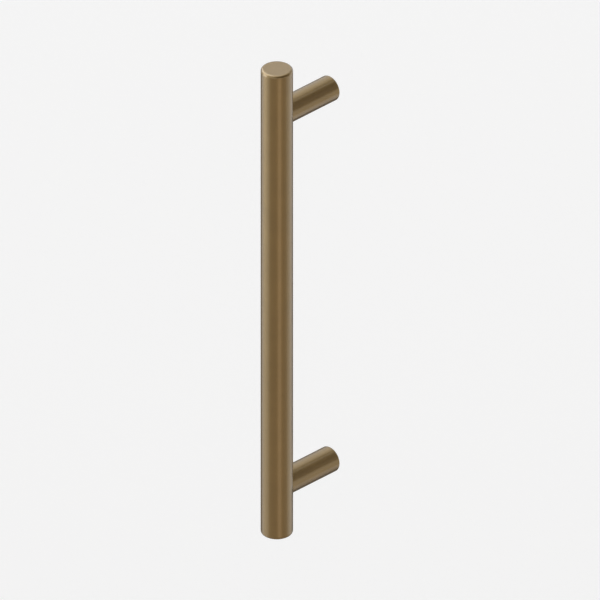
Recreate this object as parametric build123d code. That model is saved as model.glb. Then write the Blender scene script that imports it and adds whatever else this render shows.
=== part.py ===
from build123d import *
import os

# A straight bar door pull: a round tube on two round posts, fixed to the door from behind.
# Millimetres. The door face is the plane Y = 0 and the door is on its +Y side. Z runs up along
# the bar. The origin is midway between the feet of the two posts.

# Bar
bar_diameter = 30.0
bar_overhang = 50.0  # from a post's axis to the end of the bar
tube_wall = 1.5
bar_to_door = 70.0  # from the bar's axis to the door face

# End caps, pushed into the tube
cap_flange = 3.0
cap_rim_radius = 2.5
cap_spigot_length = 10.0
cap_spigot_wall = 3.0
cap_spigot_lead = 1.0

# Posts
post_centres = 400.0
post_diameter = 25.0
post_web = 12.0  # solid metal between the joining screw's seat and the bar
foot_edge_radius = 1.5
foot_mouth_chamfer = 0.5

# Joining screw, M8 x 25 with a socket head, which pulls the post on to the tube
screw_diameter = 8.0
screw_length = 25.0
screw_point = 1.0
screw_head_diameter = 13.0
screw_head_height = 8.0
screw_head_chamfer = 0.8
screw_key_flats = 6.0
screw_key_depth = 4.0

# Split spring washer under the screw's head
washer_diameter = 12.7
washer_thickness = 2.0
washer_split = 1.2
washer_split_slant = 20.0  # degrees

# Saddle nut, a half-round bar inside the tube with one tapped hole
nut_length = 30.0
nut_thickness = 10.5  # at the screw, from the tube's inner wall to the flat
nut_edge_chamfer = 0.6

# Foot insert, an M16 threaded bush tapped M8 for the bolt that comes through the door
insert_diameter = 16.0
insert_length = 20.0
insert_recess = 0.1  # below the foot's face
insert_edge_chamfer = 0.75
insert_slot_width = 2.0
insert_slot_depth = 1.5
door_bolt_tapping = 6.8  # diameter of the tapped hole at its crests
door_bolt_countersink = 0.3

# Clearances, each measured on the radius
saddle_gap = 0.05  # post to tube, and nut to tube
spigot_gap = 0.05
thread_gap = 0.05  # between the plain cylinders that stand for two mated threads
washer_gap = 0.15
screw_hole_gap = 0.5
head_gap = 0.5

# Sizes that follow from the ones above
bar_radius = bar_diameter / 2
tube_bore_radius = bar_radius - tube_wall
tube_half_length = post_centres / 2 + bar_overhang - cap_flange
spigot_radius = tube_bore_radius - spigot_gap
post_radius = post_diameter / 2
screw_radius = screw_diameter / 2
screw_hole_radius = screw_radius + screw_hole_gap
head_bore_radius = screw_head_diameter / 2 + head_gap
insert_radius = insert_diameter / 2

# Stations on a post's axis: 0 is the door face and the bar's axis is at -bar_to_door
bar_axis = -bar_to_door
bar_back = bar_axis + bar_radius
washer_seat = bar_back + post_web
head_seat = washer_seat + washer_thickness
head_top = head_seat + screw_head_height
screw_tip = head_seat - screw_length
nut_flat = bar_axis + tube_bore_radius - nut_thickness
insert_face = -insert_recess
insert_end = insert_face - insert_length

FROM_BASE = (Align.CENTER, Align.CENTER, Align.MIN)
SAME_EDGE = 1e-6


def rod(radius, low, high):
    """A round rod on the Z axis, from one height to another."""
    return Pos(0, 0, low) * Cylinder(radius, high - low, align=FROM_BASE)


def edge_at(solid, height, radius):
    """The circular edge of this radius at this height on a turned solid."""
    circles = solid.edges().filter_by(GeomType.CIRCLE)
    return circles.filter_by(
        lambda edge: abs(edge.center().Z - height) + abs(edge.radius - radius) < SAME_EDGE
    )


def on_bar(piece):
    """A piece made on the Z axis, moved to the bar's axis."""
    return Pos(0, bar_axis, 0) * piece


def on_post(piece, height):
    """A piece made on the Z axis, turned to lie along the post at this height, with Z facing the door."""
    return Plane(origin=(0, 0, height), x_dir=(1, 0, 0), z_dir=(0, 1, 0)) * piece


def bar_envelope(radius, length):
    """A round bar across a post's own frame, on the axis of the tube."""
    return Pos(0, 0, bar_axis) * Rot(90, 0, 0) * Cylinder(radius, length)


def grip_tube():
    """The hand bar: a tube with a screw hole at each post, in the wall that faces the door."""
    tube = rod(bar_radius, -tube_half_length, tube_half_length)
    tube -= rod(tube_bore_radius, -tube_half_length, tube_half_length)
    tube = on_bar(tube)
    for height in post_heights.values():
        tube -= on_post(rod(screw_hole_radius, bar_axis, 0), height)
    return tube


def end_cap():
    """A turned cap: a flange as wide as the tube, with a rounded rim, and a hollow spigot below it."""
    flange = rod(bar_radius, 0, cap_flange)
    flange = fillet(edge_at(flange, cap_flange, bar_radius), cap_rim_radius)
    spigot = rod(spigot_radius, -cap_spigot_length, 0)
    spigot = chamfer(edge_at(spigot, -cap_spigot_length, spigot_radius), cap_spigot_lead)
    hollow = rod(spigot_radius - cap_spigot_wall, -cap_spigot_length, 0)
    return flange + (spigot - hollow)


def post():
    """A turned post, saddled over the tube at one end and bored in three steps from its foot."""
    body = rod(post_radius, bar_axis, 0)
    body = fillet(edge_at(body, 0, post_radius), foot_edge_radius)
    body -= bar_envelope(bar_radius + saddle_gap, 2 * post_diameter)
    body -= rod(screw_hole_radius, bar_axis, 0)
    body -= rod(head_bore_radius, washer_seat, 0)
    mouth_radius = insert_radius + thread_gap
    body -= rod(mouth_radius, insert_end, 0)
    return chamfer(edge_at(body, 0, mouth_radius), foot_mouth_chamfer)


def saddle_nut():
    """A half-round nut that lies along the inside of the tube, tapped for the joining screw."""
    block = bar_envelope(tube_bore_radius - saddle_gap, nut_length)
    below = (Align.CENTER, Align.CENTER, Align.MAX)
    block -= Pos(0, 0, nut_flat) * Box(bar_diameter, 2 * nut_length, bar_diameter, align=below)
    flat = block.faces().sort_by(Axis.Z)[0]
    block = chamfer(flat.edges(), nut_edge_chamfer)
    return block - rod(screw_radius + thread_gap, bar_axis, 0)


def joining_screw():
    """A socket-head screw, its head towards the foot of the post."""
    shank = rod(screw_radius, screw_tip, head_seat)
    shank = chamfer(edge_at(shank, screw_tip, screw_radius), screw_point)
    head = rod(screw_head_diameter / 2, head_seat, head_top)
    head = chamfer(edge_at(head, head_top, screw_head_diameter / 2), screw_head_chamfer)
    hexagon = RegularPolygon(screw_key_flats / 2, 6, major_radius=False)
    socket = extrude(Pos(0, 0, head_top) * hexagon, -screw_key_depth)
    return head + shank - socket


def lock_washer():
    """A split spring washer, pressed flat between the screw's head and the post's web."""
    ring = rod(washer_diameter / 2, washer_seat, head_seat)
    ring -= rod(screw_radius + washer_gap, washer_seat, head_seat)
    one_side = (Align.MIN, Align.CENTER, Align.CENTER)
    split = Box(washer_diameter, washer_split, 3 * washer_thickness, align=one_side)
    return ring - Pos(0, 0, (washer_seat + head_seat) / 2) * Rot(washer_split_slant, 0, 0) * split


def foot_insert():
    """A threaded bush in the foot, with a driver slot and a tapped hole right through."""
    bush = rod(insert_radius, insert_end, insert_face)
    ends = edge_at(bush, insert_face, insert_radius) + edge_at(bush, insert_end, insert_radius)
    bush = chamfer(ends, insert_edge_chamfer)
    hole_radius = door_bolt_tapping / 2
    bush -= rod(hole_radius, insert_end, insert_face)
    mouths = edge_at(bush, insert_face, hole_radius) + edge_at(bush, insert_end, hole_radius)
    bush = chamfer(mouths, door_bolt_countersink)
    slot = Box(insert_diameter, insert_slot_width, 2 * insert_slot_depth)
    return bush - Pos(0, 0, insert_face) * slot


def save(name, solid):
    solid.label = name
    export_step(solid, f"parts/{name}.step")


post_heights = {"upper": post_centres / 2, "lower": -post_centres / 2}
facing = {"upper": Rot(0, 0, 0), "lower": Rot(180, 0, 0)}

os.makedirs("parts", exist_ok=True)
save("grip_tube", grip_tube())
for end, height in post_heights.items():
    save(f"{end}_end_cap", on_bar(facing[end] * Pos(0, 0, tube_half_length) * end_cap()))
    save(f"{end}_post", on_post(post(), height))
    save(f"{end}_saddle_nut", on_post(saddle_nut(), height))
    save(f"{end}_joining_screw", on_post(joining_screw(), height))
    save(f"{end}_lock_washer", on_post(lock_washer(), height))
    save(f"{end}_foot_insert", on_post(foot_insert(), height))
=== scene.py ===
"""A straight bar door pull in satin brass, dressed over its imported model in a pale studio."""
import math

import bmesh
import bpy
import numpy as np
from mathutils import Matrix, Vector


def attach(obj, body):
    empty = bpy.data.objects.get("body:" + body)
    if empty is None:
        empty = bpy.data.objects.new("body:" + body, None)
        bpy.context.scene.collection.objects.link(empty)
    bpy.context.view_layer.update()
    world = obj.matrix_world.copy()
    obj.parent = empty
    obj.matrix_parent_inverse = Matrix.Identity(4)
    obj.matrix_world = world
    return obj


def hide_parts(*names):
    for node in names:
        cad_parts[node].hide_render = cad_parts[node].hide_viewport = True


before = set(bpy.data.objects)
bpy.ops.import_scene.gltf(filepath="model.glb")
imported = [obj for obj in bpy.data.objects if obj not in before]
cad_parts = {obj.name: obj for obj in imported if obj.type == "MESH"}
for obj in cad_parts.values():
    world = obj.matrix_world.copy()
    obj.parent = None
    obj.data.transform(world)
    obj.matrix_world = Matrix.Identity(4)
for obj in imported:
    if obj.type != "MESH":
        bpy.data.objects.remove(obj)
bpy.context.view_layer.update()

# Sizes in millimetres, as in the model. A post's stations run from 0 at the door face to the bar.
MM = 0.001

# Bar and end caps
bar_axis = -70.0
bar_radius = 15.0
bar_half_length = 250.0
tube_wall = 1.5
tube_edge = 0.08  # broken edge that leaves a hairline seam between tube and cap
cap_flange = 3.0
cap_rim_radius = 2.5
spigot_length = 10.0
spigot_wall = 3.0
spigot_lead = 1.0

# Posts
post_height = 200.0
post_radius = 12.5
post_web = 12.0  # from the bar to the washer's seat
saddle_edge = 0.15  # broken edge round the saddle
foot_edge_radius = 1.5
foot_mouth_chamfer = 0.5

# Foot inserts
insert_radius = 8.0
insert_length = 20.0
insert_face = -0.1
insert_edge_chamfer = 0.75
insert_pitch = 1.5
insert_slot_width = 2.0
insert_slot_depth = 1.5
tapping_radius = 3.4
countersink = 0.3

# Joining screws, washers and saddle nuts
screw_radius = 4.0
screw_length = 25.0
screw_pitch = 1.25
screw_point = 1.0
head_radius = 6.5
head_height = 8.0
head_chamfer = 0.8
key_sides = 6
key_flats = 6.0
key_depth = 4.0
washer_thickness = 2.0
nut_length = 30.0
nut_thickness = 10.5  # at the screw, from the tube's inner wall to the flat
nut_edge_chamfer = 0.6

# Clearances, each measured on the radius
contact_gap = 0.05  # where a piece fits on or in another, threads included
screw_hole_gap = 0.5
head_gap = 0.5

# Sizes that follow from the ones above
tube_bore_radius = bar_radius - tube_wall
tube_half_length = bar_half_length - cap_flange
spigot_radius = tube_bore_radius - contact_gap
spigot_bore_radius = spigot_radius - spigot_wall
saddle_radius = bar_radius + contact_gap
screw_hole_radius = screw_radius + screw_hole_gap
head_bore_radius = head_radius + head_gap
foot_thread_radius = insert_radius + contact_gap
screw_thread_radius = screw_radius + contact_gap
insert_end = insert_face - insert_length
washer_seat = bar_axis + bar_radius + post_web
head_seat = washer_seat + washer_thickness
head_top = head_seat + head_height
screw_tip = head_seat - screw_length
nut_radius = tube_bore_radius - contact_gap
nut_flat = bar_axis + tube_bore_radius - nut_thickness

# A thread's depth as a share of its pitch, outside (17/24 of the sharp height) and inside (5/8)
outside_depth = 0.61
inside_depth = 0.54
tap_bore_depth = 0.53  # of the bore that is tapped, just outside the tap's root so no slivers stay
edge_middle = 0.3  # how far in the middle of a rounded edge lies, as a share of its radius

# The photograph's parallel view, from above and to the right of the handle's front
view_turn = math.radians(45.45)
view_lift = math.radians(30.96)
picture_size = 555.0
picture_centre = (-28.46, -24.98)  # the picture's middle, right of and above the origin
camera_distance = 1.5  # metres

# Steps round a surface, and along the small curves of a profile
ROUND = 256
HEAD_ROUND = 128
THREAD_ROUND = 96
CONE_ROUND = 96
DRILL_ROUND = 64
RIM_STEPS = 16
FOOT_STEPS = 12
SADDLE_STEPS = 16

WELD = 1e-5  # points closer than this become one
SLIVER = 5e-4  # the same, after a cut
OVERRUN = 1.0  # how far a cutter runs past a face, or a joined piece into it
OFF_COLUMN = Matrix.Rotation(0.011, 4, "Z")  # keeps a cutter's columns off those of what it cuts
CREASE = math.radians(28)  # an edge that turns by more than this stays hard

ENDS = (("lower", -1), ("upper", 1))


def axes_of_view():
    """Unit vectors to the right of the picture, up it, and from the object back to the camera."""
    right = Vector((math.cos(view_turn), math.sin(view_turn), 0))
    flat_back = Vector((math.sin(view_turn), -math.cos(view_turn), 0))
    back = flat_back * math.cos(view_lift) + Vector((0, 0, math.sin(view_lift)))
    return right, back.cross(right), back


def make_camera():
    right, up, back = axes_of_view()
    data = bpy.data.cameras.new("camera")
    data.type = "ORTHO"
    data.ortho_scale = picture_size * MM
    camera = bpy.data.objects.new("camera", data)
    bpy.context.scene.collection.objects.link(camera)
    middle = (right * picture_centre[0] + up * picture_centre[1]) * MM
    turn = Matrix((right, up, back)).transposed().to_4x4()
    camera.matrix_world = Matrix.Translation(middle + back * camera_distance) @ turn
    bpy.context.scene.camera = camera


make_camera()


# Places on the handle. Each piece is made in millimetres on the Z axis and then put in its place.


def on_bar(end=1):
    """The bar's axis; the lower end's pieces are turned over."""
    return Matrix.Translation((0, bar_axis, 0)) @ Matrix.Rotation(0 if end > 0 else math.pi, 4, "X")


def on_post(end):
    """A post's axis at the upper or lower end, with Z facing the door."""
    turn = Matrix(((1, 0, 0), (0, 0, 1), (0, -1, 0))).to_4x4()
    return Matrix.Translation((0, 0, end * post_height)) @ turn


# Mesh building


def mesh_from(name, points, faces, place=Matrix.Identity(4)):
    """A mesh from its points, welded and closed, with its faces turned outwards."""
    mesh = bpy.data.meshes.new(name)
    mesh.from_pydata([place @ Vector(p) for p in points], [], faces)
    weld(mesh, WELD)
    made = bpy.data.objects.new(name, mesh)
    bpy.context.scene.collection.objects.link(made)
    return made


def weld(mesh, distance):
    """Join points that are closer than this, and close what is left open."""
    shape = bmesh.new()
    shape.from_mesh(mesh)
    bmesh.ops.remove_doubles(shape, verts=shape.verts, dist=distance)
    bmesh.ops.dissolve_degenerate(shape, edges=shape.edges, dist=distance)
    bmesh.ops.holes_fill(shape, edges=[edge for edge in shape.edges if edge.is_boundary], sides=0)
    bmesh.ops.recalc_face_normals(shape, faces=shape.faces)
    shape.to_mesh(mesh)
    shape.free()


def grid_faces(rows, columns, closed_rows):
    """Four-sided faces of a grid that closes round its columns, and round its rows if asked."""
    faces = []
    for row in range(rows if closed_rows else rows - 1):
        here = row * columns
        after = (row + 1) % rows * columns
        for column in range(columns):
            beside = (column + 1) % columns
            faces.append((here + column, here + beside, after + beside, after + column))
    return faces


def turned(name, profile, place=Matrix.Identity(4), closed=False, steps=ROUND):
    """A turned piece. The profile is (radius, station) points, or a function of the angle that gives them."""
    angles = [2 * math.pi * k / steps for k in range(steps)]
    columns = [profile(angle) if callable(profile) else profile for angle in angles]
    rows = len(columns[0])
    points = []
    for row in range(rows):
        for angle, column in zip(angles, columns):
            radius, station = column[row]
            points.append((radius * math.cos(angle), radius * math.sin(angle), station))
    return mesh_from(name, points, grid_faces(rows, steps, closed), place)


def arc(centre_radius, centre_station, radius, start, end, count):
    """Profile points round an arc, its angles in degrees from straight outwards."""
    points = []
    for k in range(count + 1):
        angle = math.radians(start + (end - start) * k / count)
        points.append(
            (centre_radius + radius * math.cos(angle), centre_station + radius * math.sin(angle))
        )
    return points


def change(piece, operation, *others):
    """Join other closed pieces to a piece, or take them out of it, and remove them."""
    for other in others:
        step = piece.modifiers.new("change", "BOOLEAN")
        step.operation = operation
        step.solver = "EXACT"
        step.object = other
    apply_modifiers(piece)
    weld(piece.data, SLIVER)
    for other in others:
        bpy.data.objects.remove(other)


def cut(piece, *cutters):
    change(piece, "DIFFERENCE", *cutters)


def block(low, high):
    """A plain block between two corners, for use as a cutter."""
    points = [(x, y, z) for x in (low[0], high[0]) for y in (low[1], high[1]) for z in (low[2], high[2])]
    faces = [(0, 1, 3, 2), (4, 6, 7, 5), (0, 4, 5, 1), (2, 3, 7, 6), (0, 2, 6, 4), (1, 5, 7, 3)]
    return mesh_from("block", points, faces)


def apply_modifiers(piece):
    graph = bpy.context.evaluated_depsgraph_get()
    made = bpy.data.meshes.new_from_object(piece.evaluated_get(graph))
    piece.modifiers.clear()
    piece.data = made


def smooth(piece):
    """Smooth shading with hard creases, where each flat or long face keeps its own direction."""
    piece.data.shade_smooth()
    piece.data.set_sharp_from_angle(angle=CREASE)
    step = piece.modifiers.new("normals", "WEIGHTED_NORMAL")
    step.keep_sharp = True
    apply_modifiers(piece)


def dress(piece, node, place, material):
    """Put a piece in its place to stand for a node, with the finish of a slot."""
    piece.name = f"{node}_look"
    piece.data.transform(Matrix.Scale(MM, 4) @ place)
    smooth(piece)
    piece.data.materials.clear()
    piece.data.materials.append(material)
    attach(piece, "root")
    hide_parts(node)


# The bar


def make_tube():
    """The hand bar, with a screw hole at each post in the wall that faces the door."""
    beside_hole = 2 * screw_hole_radius  # where a row of faces ends on either side of a hole
    outer = [(bar_radius - tube_edge, -tube_half_length), (bar_radius, -tube_half_length + tube_edge)]
    for height in (-post_height, post_height):
        outer += [(bar_radius, height - beside_hole), (bar_radius, height + beside_hole)]
    outer += [(bar_radius, tube_half_length - tube_edge), (bar_radius - tube_edge, tube_half_length)]
    inner = [(tube_bore_radius, tube_half_length), (tube_bore_radius, -tube_half_length)]
    tube = turned("tube", outer + inner, closed=True)
    drill = [(0, bar_axis), (screw_hole_radius, bar_axis), (screw_hole_radius, 0), (0, 0)]
    from_bar = on_bar().inverted()
    cut(tube, *[turned("drill", drill, from_bar @ on_post(end), steps=DRILL_ROUND) for end in (1, -1)])
    return tube


def make_cap():
    """A flange with a rounded rim over a hollow spigot."""
    profile = [(0, cap_flange)]
    profile += arc(bar_radius - cap_rim_radius, cap_flange - cap_rim_radius, cap_rim_radius, 90, 0, RIM_STEPS)
    profile += [
        (bar_radius, tube_edge),
        (bar_radius - tube_edge, 0),
        (spigot_radius, 0),
        (spigot_radius, -spigot_length + spigot_lead),
        (spigot_radius - spigot_lead, -spigot_length),
        (spigot_bore_radius, -spigot_length),
        (spigot_bore_radius, 0),
        (0, 0),
    ]
    return turned("cap", profile)


# The posts


def saddle_station(radius, angle):
    """Where the saddle lies, at this distance and direction from the post's axis."""
    return bar_axis + math.sqrt(saddle_radius**2 - (radius * math.cos(angle)) ** 2)


def post_profile(angle):
    """The section of a post at one angle, from the mouth of its foot round to the tapped bore."""
    bore_radius = foot_thread_radius - tap_bore_depth * insert_pitch
    points = [(bore_radius, 0)]
    points += arc(post_radius - foot_edge_radius, -foot_edge_radius, foot_edge_radius, 90, 0, FOOT_STEPS)
    corner = saddle_station(post_radius, angle)
    points += [
        (post_radius, corner + saddle_edge),
        (post_radius - edge_middle * saddle_edge, corner + edge_middle * saddle_edge),
    ]
    for k in range(SADDLE_STEPS + 1):
        inwards = (post_radius - saddle_edge - screw_hole_radius) * k / SADDLE_STEPS
        radius = post_radius - saddle_edge - inwards
        points.append((radius, saddle_station(radius, angle)))
    points += [
        (screw_hole_radius, washer_seat),
        (head_bore_radius, washer_seat),
        (head_bore_radius, insert_end),
        (bore_radius, insert_end),
    ]
    return points


def make_post():
    """A post, tapped for the foot insert."""
    post = turned("post", post_profile, closed=True)
    mouth = foot_thread_radius + foot_mouth_chamfer
    tip = head_bore_radius - mouth
    cone = [(0, OVERRUN), (mouth + OVERRUN, OVERRUN), (head_bore_radius, tip), (0, tip)]
    thread = threaded_rod(foot_thread_radius, insert_pitch, insert_end, OVERRUN, inside=True)
    cut(post, thread, turned("cone", cone, OFF_COLUMN, steps=CONE_ROUND))
    return post


# Threads

# Share of a turn, and how far out the thread stands there: crest, flank, root, flank
thread_form = ((0, 1), (1 / 8, 1), (9 / 32, 1 / 2), (7 / 16, 0), (11 / 16, 0), (27 / 32, 1 / 2), (1, 1))


def threaded_rod(major, pitch, low, high, chamfer=0, inside=False):
    """A rod with a right-hand 60 degree thread. An inside thread's rod is the cutter for a tapped hole."""
    depth = (inside_depth if inside else outside_depth) * pitch
    steps = THREAD_ROUND
    turns, heights = zip(*thread_form)
    per_turn = len(thread_form) - 1
    first, last = math.floor(low / pitch) - 1, math.ceil(high / pitch) + 1
    rows = [turn + share for turn in range(first, last + 1) for share in turns[:per_turn]]
    points = []
    for row in rows:
        for k in range(steps):
            lead = k / steps
            station = min(max((row + lead) * pitch, low), high)
            height = np.interp((station / pitch - lead) % 1, turns, heights)
            radius = major - depth * (1 - height)
            if chamfer:
                radius = min(radius, major - chamfer + min(station - low, high - station))
            angle = 2 * math.pi * lead
            points.append((radius * math.cos(angle), radius * math.sin(angle), station))
    faces = []
    for row in range(len(rows) - per_turn - 1):
        for k in range(steps):
            near = row * steps + k
            beside = near + 1 if k + 1 < steps else (row + per_turn) * steps
            faces.append((near, beside, beside + steps, near + steps))
    return mesh_from("threaded_rod", points, faces)


def mouth_cone(mouth, station, facing_up):
    """A 45 degree cutter that opens a hole to this radius at a face, which faces up or down."""
    out = facing_up * OVERRUN
    cone = [(0, OVERRUN), (mouth + out, OVERRUN), (mouth - out, -OVERRUN), (0, -OVERRUN)]
    return turned("cone", cone, Matrix.Translation((0, 0, station)) @ OFF_COLUMN, steps=CONE_ROUND)


def make_insert():
    """The foot's bush, threaded outside and inside, with a driver slot across its face."""
    insert = threaded_rod(insert_radius, insert_pitch, insert_end, insert_face, insert_edge_chamfer)
    tap_ends = (insert_end - OVERRUN, insert_face + OVERRUN)
    tap = threaded_rod(screw_thread_radius, screw_pitch, *tap_ends, inside=True)
    mouth = tapping_radius + countersink
    cones = [mouth_cone(mouth, insert_face, 1), mouth_cone(mouth, insert_end, -1)]
    slot = block(
        (-insert_radius - OVERRUN, -insert_slot_width / 2, insert_face - insert_slot_depth),
        (insert_radius + OVERRUN, insert_slot_width / 2, insert_face + OVERRUN),
    )
    cut(insert, tap, *cones, slot)
    return insert


def make_screw():
    """The joining screw: a chamfered socket head on a threaded shank."""
    profile = [
        (0, head_top),
        (head_radius - head_chamfer, head_top),
        (head_radius, head_top - head_chamfer),
        (head_radius, head_seat),
        (0, head_seat),
    ]
    screw = turned("screw", profile, steps=HEAD_ROUND)
    shank = threaded_rod(screw_radius, screw_pitch, screw_tip, head_seat + OVERRUN, screw_point)
    change(screw, "UNION", shank)
    corner = key_flats / 2 / math.cos(math.pi / key_sides)
    above, below = head_top + OVERRUN, head_top - key_depth
    socket = [(0, above), (corner, above), (corner, below), (0, below)]
    cut(screw, turned("socket", socket, steps=key_sides))
    return screw


def make_nut():
    """The half-round nut that lies along the inside of the tube, tapped for the joining screw."""
    half = nut_length / 2
    across = Matrix.Translation((0, 0, bar_axis)) @ Matrix.Rotation(math.pi / 2, 4, "X")
    nut = turned("nut", [(0, -half), (nut_radius, -half), (nut_radius, half), (0, half)], across)
    cut(nut, block((-bar_radius, -nut_length, bar_axis - bar_radius), (bar_radius, nut_length, nut_flat)))
    shape = bmesh.new()
    shape.from_mesh(nut.data)
    flat = min(shape.faces, key=lambda face: face.normal.z)
    bmesh.ops.bevel(shape, geom=flat.edges, offset=nut_edge_chamfer, segments=1, affect="EDGES")
    shape.to_mesh(nut.data)
    shape.free()
    tap_ends = (bar_axis, bar_axis + bar_radius)
    cut(nut, threaded_rod(screw_thread_radius, screw_pitch, *tap_ends, inside=True))
    return nut


def twin(piece):
    """A copy of a piece with a mesh of its own."""
    copy = piece.copy()
    copy.data = piece.data.copy()
    bpy.context.scene.collection.objects.link(copy)
    return copy


# Finishes

# Each metal's colour and roughness, and the width and height of its tool lines in millimetres
brass_finish = {"colour": (0.23, 0.152, 0.054), "roughness": 0.36, "line_width": 0.16, "line_height": 0.004}
steel_finish = {"colour": (0.5, 0.5, 0.49), "roughness": 0.3, "line_width": 0.3, "line_height": 0.006}
lacquer = {"Coat Weight": 1.0, "Coat Roughness": 0.15, "Coat IOR": 1.5}

# How far colour and gloss stray, and over what distance in millimetres
stain_size = 22.0
stain = 0.04  # share of the colour
smear_size = 9.0
smear = 0.012  # roughness
line_length = 11.0  # before a tool line fades into another
line_smear = 0.02  # roughness, from the bottom of a line to its top
line_detail = 3.0  # how many finer sets of lines lie within the main ones
NOISE_MIDDLE = (0.3, 0.7)  # where most of a noise's values lie


class Nodes:
    """A short way to add and join the nodes of a material."""

    def __init__(self, name):
        self.material = bpy.data.materials.new(name)
        self.material.use_nodes = True
        self.tree = self.material.node_tree
        self.shader = self.tree.nodes["Principled BSDF"]
        self.place = self.tree.nodes.new("ShaderNodeTexCoord").outputs["Object"]

    def add(self, kind, inputs, **settings):
        """Add a node, fill its sockets and give its first output."""
        node = self.tree.nodes.new(kind)
        for key, value in settings.items():
            setattr(node, key, value)
        self.fill(node, inputs)
        return node.outputs[0]

    def fill(self, node, inputs):
        """Link a socket to each input that is one, and set the others to their value."""
        for key, value in inputs.items():
            if isinstance(value, bpy.types.NodeSocket):
                self.tree.links.new(value, node.inputs[key])
            else:
                node.inputs[key].default_value = value

    def math(self, operation, *values):
        return self.add("ShaderNodeMath", dict(enumerate(values)), operation=operation)

    def scaled(self, vector, scale):
        return self.add("ShaderNodeVectorMath", {0: vector, "Scale": scale}, operation="SCALE")

    def patches(self, size):
        """Soft noise with patches of about this size in millimetres."""
        return self.add("ShaderNodeTexNoise", {"Vector": self.place, "Scale": 1 / (size * MM)})

    def spread(self, noise, middle, reach):
        """A noise turned into a number that strays this far from a middle one."""
        low, high = NOISE_MIDDLE
        limits = {"From Min": low, "From Max": high, "To Min": middle - reach, "To Max": middle + reach}
        return self.add("ShaderNodeMapRange", {"Value": noise, **limits})

    def tool_lines(self, along, width):
        """Noise in fine lines round an axis, which go on round an end's edge as rings on its face.

        along is "Z" for the bar and "Y" for a post, whose axes are away from the origin.
        """
        parts = self.tree.nodes.new("ShaderNodeSeparateXYZ")
        self.fill(parts, {"Vector": self.place})
        x, y, z = parts.outputs
        if along == "Z":
            from_axis = self.math("SUBTRACT", y, bar_axis * MM)
            station = self.math("ABSOLUTE", z)
        else:
            from_axis = self.math("SUBTRACT", self.math("ABSOLUTE", z), post_height * MM)
            station = y
        squares = self.math("ADD", self.math("MULTIPLY", x, x), self.math("MULTIPLY", from_axis, from_axis))
        across = self.math("SUBTRACT", station, self.math("SQRT", squares))
        return self.add(
            "ShaderNodeTexNoise",
            {
                "Vector": self.scaled(self.place, 1 / (line_length * MM)),
                "W": self.math("DIVIDE", across, width * MM),
                "Scale": 1.0,
                "Detail": line_detail,
            },
            noise_dimensions="4D",
        )


def metal(name, along, colour, roughness, line_width, line_height):
    """A turned metal whose colour, gloss and lines vary a little from place to place."""
    nodes = Nodes(name)
    lines = nodes.tool_lines(along, line_width)
    bump = {"Height": lines, "Strength": 1.0, "Distance": line_height * MM}
    smears = nodes.spread(nodes.patches(smear_size), 0, smear)
    finish = {
        "Metallic": 1.0,
        "Base Color": nodes.scaled(colour, nodes.spread(nodes.patches(stain_size), 1, stain)),
        "Roughness": nodes.math("ADD", smears, nodes.spread(lines, roughness, line_smear)),
        "Normal": nodes.add("ShaderNodeBump", bump),
    }
    nodes.fill(nodes.shader, finish)
    return nodes


def satin_brass(name, along):
    """Darkened brass with a satin belt finish under a clear lacquer."""
    nodes = metal(name, along, **brass_finish)
    nodes.fill(nodes.shader, lacquer)
    return nodes.material


def machined_steel(along):
    """Bare turned steel, its tool lines coarser than those of the brass."""
    return metal("machined_steel", along, **steel_finish).material


brass_bar = satin_brass("satin_brass_bar", "Z")
brass_post = satin_brass("satin_brass_post", "Y")
steel = machined_steel("Y")

dress(make_tube(), "grip_tube", on_bar(), brass_bar)
cap = make_cap()
for side, end in ENDS:
    place = on_bar(end) @ Matrix.Translation((0, 0, tube_half_length))
    dress(twin(cap), f"{side}_end_cap", place, brass_bar)
bpy.data.objects.remove(cap)
for make, name, slot, material in (
    (make_post, "post", "satin_brass", brass_post),
    (make_insert, "foot_insert", "steel_fastener", steel),
    (make_screw, "joining_screw", "steel_fastener", steel),
    (make_nut, "saddle_nut", "steel_fastener", steel),
):
    piece = make()
    for side, end in ENDS:
        dress(twin(piece), f"{side}_{name}", on_post(end), material)
    bpy.data.objects.remove(piece)
for side in ("upper", "lower"):
    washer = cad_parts[f"{side}_lock_washer"]
    washer.data.materials.clear()
    washer.data.materials.append(steel)


# Studio

# What stands round the handle, each facing it: turn to the right of the camera and lift, in
# degrees, then distance, width and height in metres, then brightness, where the room's is 1.
# A lamp adds its cool light to the room behind it. A card hides the room, and dims or warms what
# the metal mirrors. Each card stands a little nearer than the one before.
room = 0.87
lamps = {
    "key": (-134, 51, 3.0, 3.2, 3.5, 2.22),
    "fill": (141, 11, 3.0, 4.4, 4.4, 0.22),
    "side": (-88, 7, 3.0, 1.7, 3.6, 2.68),
}
lamp_tint = (0.86, 0.95, 1.19)
cards = {
    "right_flag": (48, 39, 2.98, 7.1, 3.9, 0.28),
    "front_flag": (10, -54, 2.96, 7.6, 5.9, 0.66),
    "top_flag": (137, 34, 2.94, 0.4, 2.4, 0.06),
    "back_flag": (-179, -36, 2.92, 4.7, 4.7, 0.19),
    "gold_strip": (19, -19, 2.90, 1.1, 3.1, 1.26),
    "narrow_flag": (86, 12, 2.88, 0.3, 5.7, 0.60),
}
card_tint = (1.0, 0.88, 0.75)
floor_depth = 5.5  # metres below the origin
floor_reach = 660.0  # metres from side to side
floor_white = 0.98
floor_glow = 0.085  # share of white that the floor adds to what is seen of it


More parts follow.
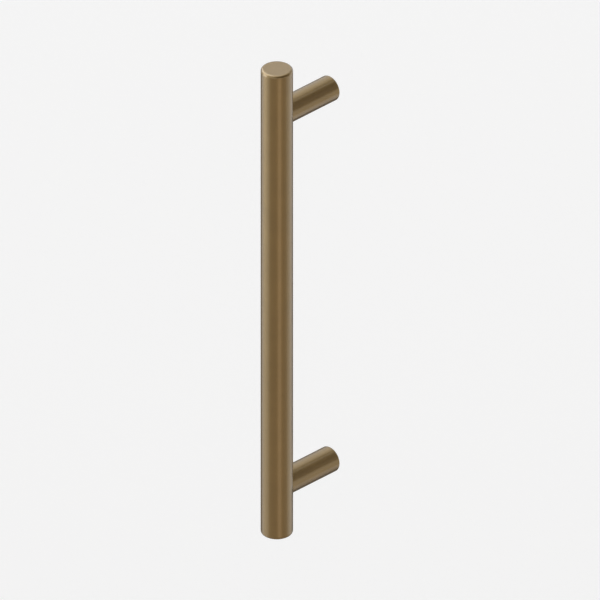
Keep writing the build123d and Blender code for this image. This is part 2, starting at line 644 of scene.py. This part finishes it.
def facing(turn, lift, distance):
    """Where a lamp or card stands, turned so that its -Z side faces the handle."""
    right, up, back = axes_of_view()
    level = Vector((back.x, back.y, 0)).normalized()
    turn, lift = math.radians(turn), math.radians(lift)
    flat = level * math.cos(turn) + right * math.sin(turn)
    out = flat * math.cos(lift) + Vector((0, 0, math.sin(lift)))
    side = Vector((0, 0, 1)).cross(flat)
    axes = Matrix((side, out.cross(side), out)).transposed().to_4x4()
    return Matrix.Translation(Vector((0, bar_axis * MM, 0)) + out * distance) @ axes


def card_paint(name, brightness):
    """A plain glow in the cards' warm tint."""
    material = bpy.data.materials.new(name)
    material.use_nodes = True
    tree = material.node_tree
    tree.nodes.clear()
    glow = tree.nodes.new("ShaderNodeEmission")
    glow.inputs["Color"].default_value = (*card_tint, 1)
    glow.inputs["Strength"].default_value = brightness
    end = tree.nodes.new("ShaderNodeOutputMaterial")
    tree.links.new(glow.outputs["Emission"], end.inputs["Surface"])
    return material


def make_lamp(name, turn, lift, distance, width, height, brightness):
    lamp = bpy.data.lights.new(name, "AREA")
    lamp.shape = "RECTANGLE"
    lamp.size = width
    lamp.size_y = height
    lamp.color = lamp_tint
    lamp.energy = math.pi * width * height * brightness * room
    holder = bpy.data.objects.new(name, lamp)
    holder.matrix_world = facing(turn, lift, distance)
    holder.visible_camera = False
    bpy.context.scene.collection.objects.link(holder)


def sheet(name, width, height, place, material):
    """A flat sheet that is part of the studio."""
    x, y = width / 2, height / 2
    made = mesh_from(name, [(-x, -y, 0), (x, -y, 0), (x, y, 0), (-x, y, 0)], [(0, 1, 2, 3)], place)
    made.data.materials.append(material)
    return made


def make_card(name, turn, lift, distance, width, height, brightness):
    place = facing(turn, lift, distance)
    card = sheet(name, width, height, place, card_paint(name, brightness * room))
    card.visible_camera = False


def white_paper():
    """White paper with a faint glow that is seen but lights nothing, so that shadows stay on it."""
    paper = Nodes("floor")
    ray = paper.tree.nodes.new("ShaderNodeLightPath").outputs
    seen = paper.math("MAXIMUM", ray["Is Camera Ray"], ray["Is Glossy Ray"])
    seen = paper.math("MAXIMUM", seen, ray["Is Transmission Ray"])
    finish = {
        "Base Color": (floor_white, floor_white, floor_white, 1),
        "Roughness": 1.0,
        "Specular IOR Level": 0.0,
        "Emission Color": (1, 1, 1, 1),
        "Emission Strength": paper.math("MULTIPLY", seen, floor_glow),
    }
    paper.fill(paper.shader, finish)
    return paper.material


def studio():
    scene = bpy.context.scene
    scene.view_settings.view_transform = "Standard"
    scene.world = bpy.data.worlds.new("studio")
    scene.world.use_nodes = True
    scene.world.node_tree.nodes["Background"].inputs["Color"].default_value = (room, room, room, 1)
    for name, row in lamps.items():
        make_lamp(name, *row)
    for name, row in cards.items():
        make_card(name, *row)
    sheet("floor", floor_reach, floor_reach, Matrix.Translation((0, 0, -floor_depth)), white_paper())


studio()
